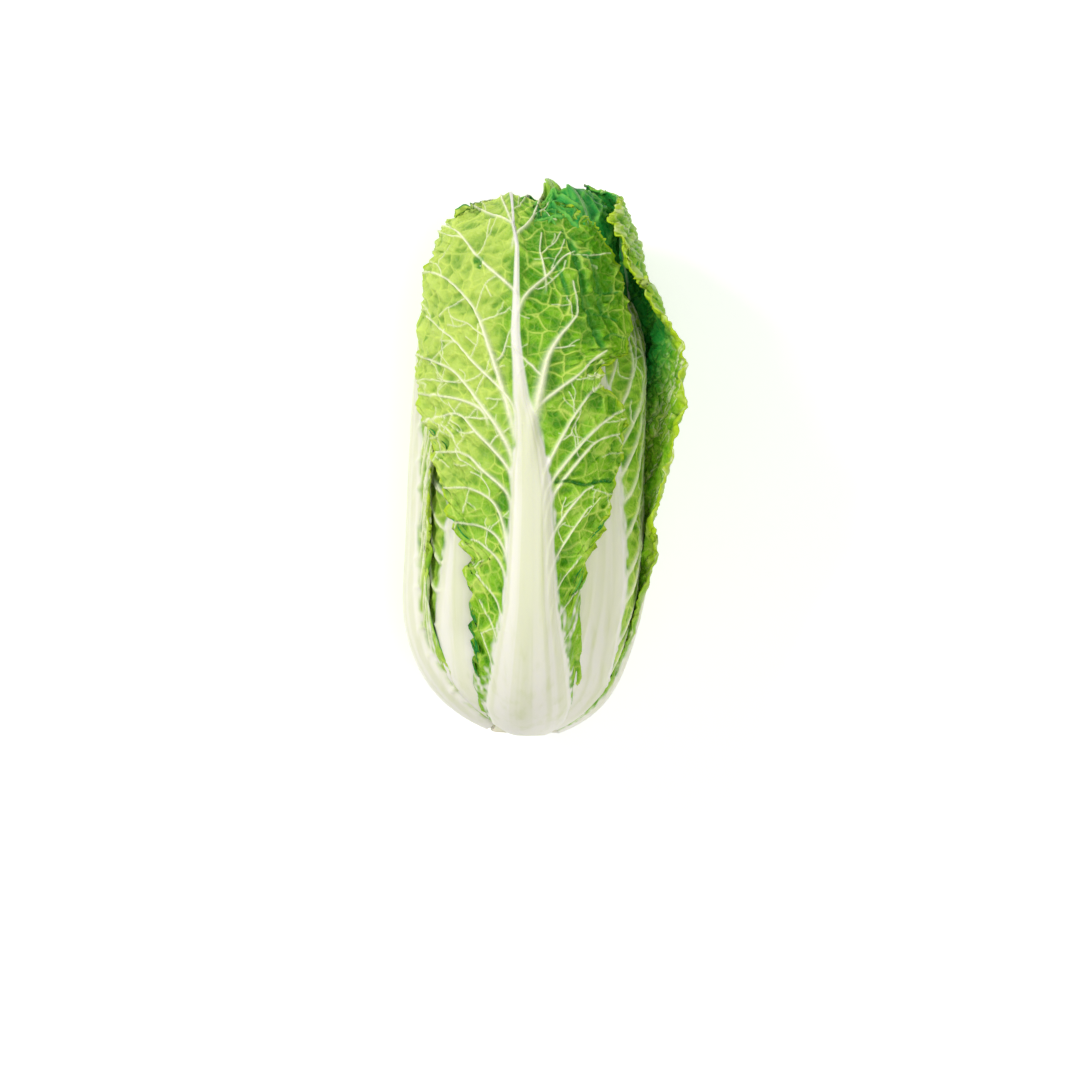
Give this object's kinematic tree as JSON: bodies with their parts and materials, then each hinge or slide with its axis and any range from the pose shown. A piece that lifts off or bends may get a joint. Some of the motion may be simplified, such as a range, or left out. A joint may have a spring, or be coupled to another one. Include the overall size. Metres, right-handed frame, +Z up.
{
  "type": "napa cabbage",
  "caption": "Fresh napa cabbage head lying on its side, with broad white ribs and crinkled green leaves.",
  "frame": {"origin": "on the surface that the head lies on, under the middle of its bounding box", "axes": "+Y along the head from the cut stump to the leaf tips, +Z up from the surface, +X towards the open leaf"},
  "size_m": [0.1508, 0.3014, 0.1363],
  "materials": {
    "outer_leaf": "fresh waxy leaf, white rib running into a green blistered blade with pale veins",
    "inner_leaf": "pale yellow-green leaf, satin",
    "heart_leaf": "pale yellow crinkled heart leaf, satin",
    "cut_stem": "cream cut stem, slightly dried, matt"
  },
  "bodies": {
    "root": {"leaf_underside": "outer_leaf", "leaf_right_open": "outer_leaf", "leaf_front": "outer_leaf", "leaf_left": "outer_leaf", "leaf_right_middle": "outer_leaf", "leaf_left_middle": "outer_leaf", "leaf_back_left": "outer_leaf", "leaf_back_right": "outer_leaf", "leaf_inner_1": "inner_leaf", "leaf_inner_2": "inner_leaf", "leaf_inner_3": "inner_leaf", "heart": "heart_leaf", "stump": "cut_stem"}
  },
  "joints": []
}
